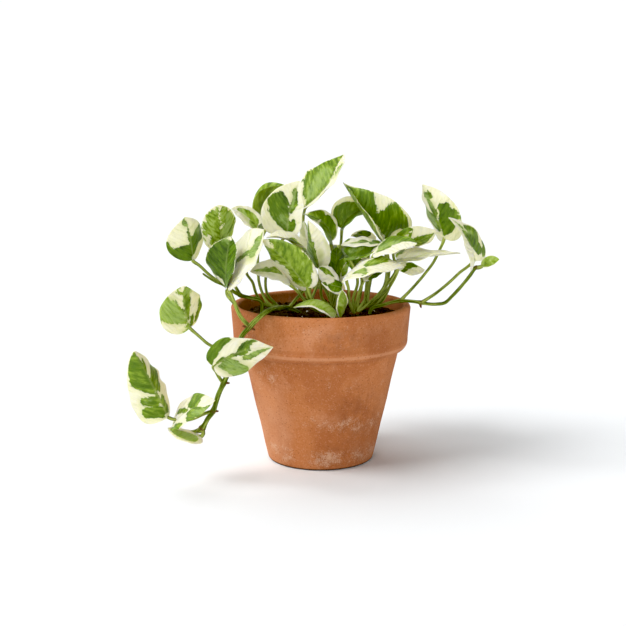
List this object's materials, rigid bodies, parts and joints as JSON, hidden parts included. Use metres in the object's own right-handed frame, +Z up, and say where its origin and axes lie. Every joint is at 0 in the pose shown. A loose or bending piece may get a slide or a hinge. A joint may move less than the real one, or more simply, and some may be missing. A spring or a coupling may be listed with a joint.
{
  "type": "potted variegated pothos",
  "caption": "Bushy green and cream variegated pothos in a round terracotta pot with a collar, one vine trailing over the rim beside the pot.",
  "frame": {"origin": "on the pot's underside, below the middle of the whole plant's outline seen from above; the pot's own axis stands at x = 0.0024, y = -0.0027", "axes": "+Z up out of the pot, -Y towards the front, with the trailing vine at -X"},
  "size_m": [0.2568, 0.1712, 0.2212],
  "materials": {
    "terracotta": "matt, unglazed and weathered",
    "soil": "rough and crumbly",
    "foliage": "satin leaf, green patched with cream"
  },
  "bodies": {
    "root": {"pot": "terracotta", "soil": "soil", "trailing_vine": "foliage", "left_shoot": "foliage", "left_back_shoot": "foliage", "front_shoot": "foliage", "back_shoot": "foliage", "centre_shoot": "foliage", "right_shoot": "foliage", "right_back_shoot": "foliage", "right_runner": "foliage"}
  },
  "joints": []
}
